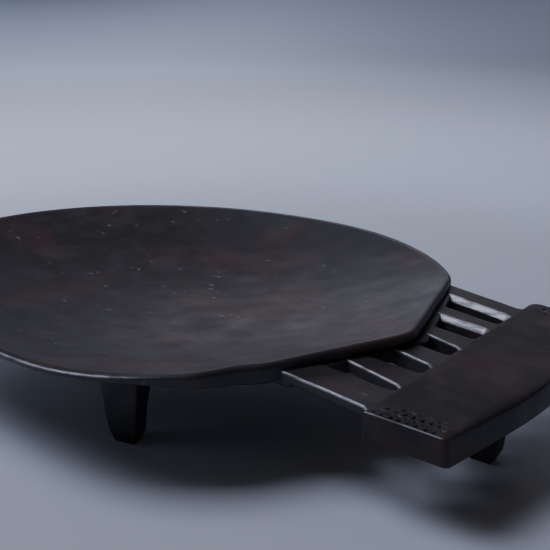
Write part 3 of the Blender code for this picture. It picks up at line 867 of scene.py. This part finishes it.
def make_studio():
    """A pale round sweep that is floor and backdrop in one, with painted light in a ring round the dish and
    painted shade far off and high up.
    """
    steps = SWEEP_STEPS
    profile = [(0.0, 0.0)] + [(r, 0.0) for r in np.linspace(0.05, SWEEP_FLAT, 24)]
    for i in range(1, 17):
        a = 0.5 * math.pi * i / 16
        profile.append((SWEEP_FLAT + SWEEP_BEND * math.sin(a), SWEEP_BEND * (1.0 - math.cos(a))))
    profile.append(SWEEP_TOP)
    angles = [2.0 * math.pi * i / steps for i in range(steps)]
    points = [(0.0, 0.0, 0.0)]
    points += [(r * math.cos(a), r * math.sin(a), z) for r, z in profile[1:] for a in angles]
    faces = [(0, 1 + j, 1 + (j + 1) % steps) for j in range(steps)]
    for i in range(len(profile) - 2):
        a = 1 + i * steps
        b = a + steps
        for j in range(steps):
            k = (j + 1) % steps
            faces.append((a + j, b + j, b + k, a + k))
    sweep = mesh_object("sweep", points, faces)
    sweep.data.shade_smooth()
    material = bpy.data.materials.new("paper")
    material.use_nodes = True
    n = Nodes(material.node_tree)
    shader = material.node_tree.nodes["Principled BSDF"]
    where = n.add("ShaderNodeTexCoord").outputs["Object"]
    tooth = n.noise(where, 900.0, 2.0)
    parts = n.add("ShaderNodeSeparateXYZ", {0: where})
    away = n.add("ShaderNodeVectorMath", {0: where}, operation="LENGTH").outputs["Value"]
    near_colour = n.mix(tooth, PAPER[0], PAPER[1])
    # Painted light: a paler ring round the dish; then painted shade far off and high up
    painted_light_ring = n.maths("MULTIPLY", n.spread(away, 0.38, 0.72), n.spread(away, 1.7, 0.8))
    colour = n.mix(painted_light_ring, near_colour, PAPER_PAINTED_LIGHT)
    colour = n.mix(n.spread(away, 0.85, 2.4), colour, PAPER_PAINTED_FALLOFF)
    colour = n.mix(n.spread(parts.outputs["Z"], 1.2, 2.2), colour, PAPER_PAINTED_SHADE)
    n.put(shader.inputs["Base Color"], colour)
    shader.inputs["Roughness"].default_value = 0.75
    sweep.data.materials.append(material)


def area_light(name, place, target, size, power, colour):
    """A soft box aimed at a point."""
    data = bpy.data.lights.new(name, "AREA")
    data.shape = "RECTANGLE"
    data.size, data.size_y = size
    data.energy = power
    data.color = colour
    item = bpy.data.objects.new(name, data)
    item.location = place
    item.rotation_euler = (Vector(target) - Vector(place)).to_track_quat("-Z", "Y").to_euler()
    bpy.context.scene.collection.objects.link(item)
    return item


def make_lights():
    """A soft box high on the left, low lights behind and on the left, a warm fill and a dim surround."""
    back = Vector((-math.sin(CAMERA_AZIMUTH), math.cos(CAMERA_AZIMUTH), 0.0))
    left = Vector((-math.cos(CAMERA_AZIMUTH), -math.sin(CAMERA_AZIMUTH), 0.0))
    up = Vector((0.0, 0.0, 1.0))
    middle = (0.0, 0.0, 0.0)
    above = (left * 0.51 + back * 0.02 + up * 0.86) * 2.4
    area_light("soft_box", above, middle, (1.3, 1.3), 42.0, SOFT_BOX_COLOUR)
    behind_left = left * 0.70 + back * 2.40 + up * 0.90
    window = area_light("window", behind_left, middle, (1.6, 0.6), 30.0, DAYLIGHT)
    window.visible_glossy = False
    behind_right = left * -0.45 + back * 2.60 + up * 0.74
    area_light("sheen_box", behind_right, (0.0, 0.0, 0.05), (1.7, 0.60), 2.7, SHEEN_COLOUR)
    low_left = left * 1.80 - back * 0.20 + up * 0.80
    area_light("low_left", low_left, middle, (0.8, 0.5), 1.6, DAYLIGHT)
    overhead = back * 0.5 - left * 0.3 + up * 1.1
    area_light("backdrop_light", overhead, back * 2.6 + up * 0.3, (0.8, 0.5), 2.5, DAYLIGHT)
    front = back * -2.0 + left * 0.3 + up * 0.65
    area_light("front_fill", front, middle, (2.0, 0.8), 0.5, WARM_FILL)
    world = bpy.data.worlds.new("studio")
    bpy.context.scene.world = world
    world.use_nodes = True
    world.node_tree.nodes["Background"].inputs["Color"].default_value = SURROUND
    world.node_tree.nodes["Background"].inputs["Strength"].default_value = 0.17


def make_camera():
    """The camera, low on the near side and turned a little towards the handle."""
    forward = Vector((-math.sin(CAMERA_AZIMUTH) * math.cos(CAMERA_ELEVATION),
                      math.cos(CAMERA_AZIMUTH) * math.cos(CAMERA_ELEVATION),
                      -math.sin(CAMERA_ELEVATION)))
    data = bpy.data.cameras.new("camera")
    data.lens = CAMERA_LENS
    data.sensor_width = CAMERA_SENSOR
    data.clip_start = 0.01
    data.clip_end = 50.0
    item = bpy.data.objects.new("camera", data)
    item.location = CAMERA_AIM - forward * CAMERA_DISTANCE
    item.rotation_euler = forward.to_track_quat("-Z", "Y").to_euler()
    bpy.context.scene.collection.objects.link(item)
    bpy.context.scene.camera = item


# ---- the whole -----------------------------------------------------------------------------------

dish_wood = wood("dish_wood", DISH_BLACK, BROWN, gloss=0.42, specular=0.45, seed=1, painted_sheen=0.55)
finish_piece(make_dish(), dish_wood, "bowl")
for number in range(len(BAR_SIDES)):
    bar_wood = wood("bar_wood_%d" % (number + 1), DISH_BLACK, BROWN, gloss=0.46, specular=0.55,
                    seed=11 + number, specks=0.5)
    finish_piece(make_bar(number), bar_wood, "handle_bar_%d" % (number + 1))
grip_wood = wood("grip_top_wood", BLACK, BROWN, gloss=0.50, specular=0.28, seed=5, specks=0.5)
finish_piece(make_grip(), grip_wood, "grip")

for number, (leg_name, degrees) in enumerate(BOWL_LEGS):
    angle = math.radians(degrees)
    leg_place = (BOWL_X + BOWL_LEG_REACH * math.cos(angle), BOWL_Y + BOWL_LEG_REACH * math.sin(angle))
    plain = rim_radii(np.array([angle]))[1]
    seat_z = RIM_Z + float(underside_heights(BOWL_LEG_REACH / plain, edge_heights(np.array([angle])))[0])
    leg = make_leg(leg_name + "_wood", leg_place, -LEG_TURN * math.sin(angle), seat_z, 60 + 4 * number)
    leg_wood = wood(leg_name + "_dark", LEG_BLACK_PAINTED_BOUNCE, BROWN, gloss=0.50, specular=0.35, seed=20 + number,
                    specks=0.3)
    finish_piece(leg, leg_wood, leg_name)
grip_seat = handle_plane() @ Vector((GRIP_LEG_PLACE[0] - HANDLE_X, 0.0, GRIP_ARCH - GRIP_THICKNESS))
leg = make_leg("grip_leg_wood", GRIP_LEG_PLACE, 0.0, grip_seat.z, 80)
leg_wood = wood("grip_leg_dark", LEG_BLACK_PAINTED_BOUNCE, BROWN, gloss=0.50, specular=0.35, seed=24, specks=0.3)
finish_piece(leg, leg_wood, "grip_leg")

make_studio()
make_lights()
make_camera()
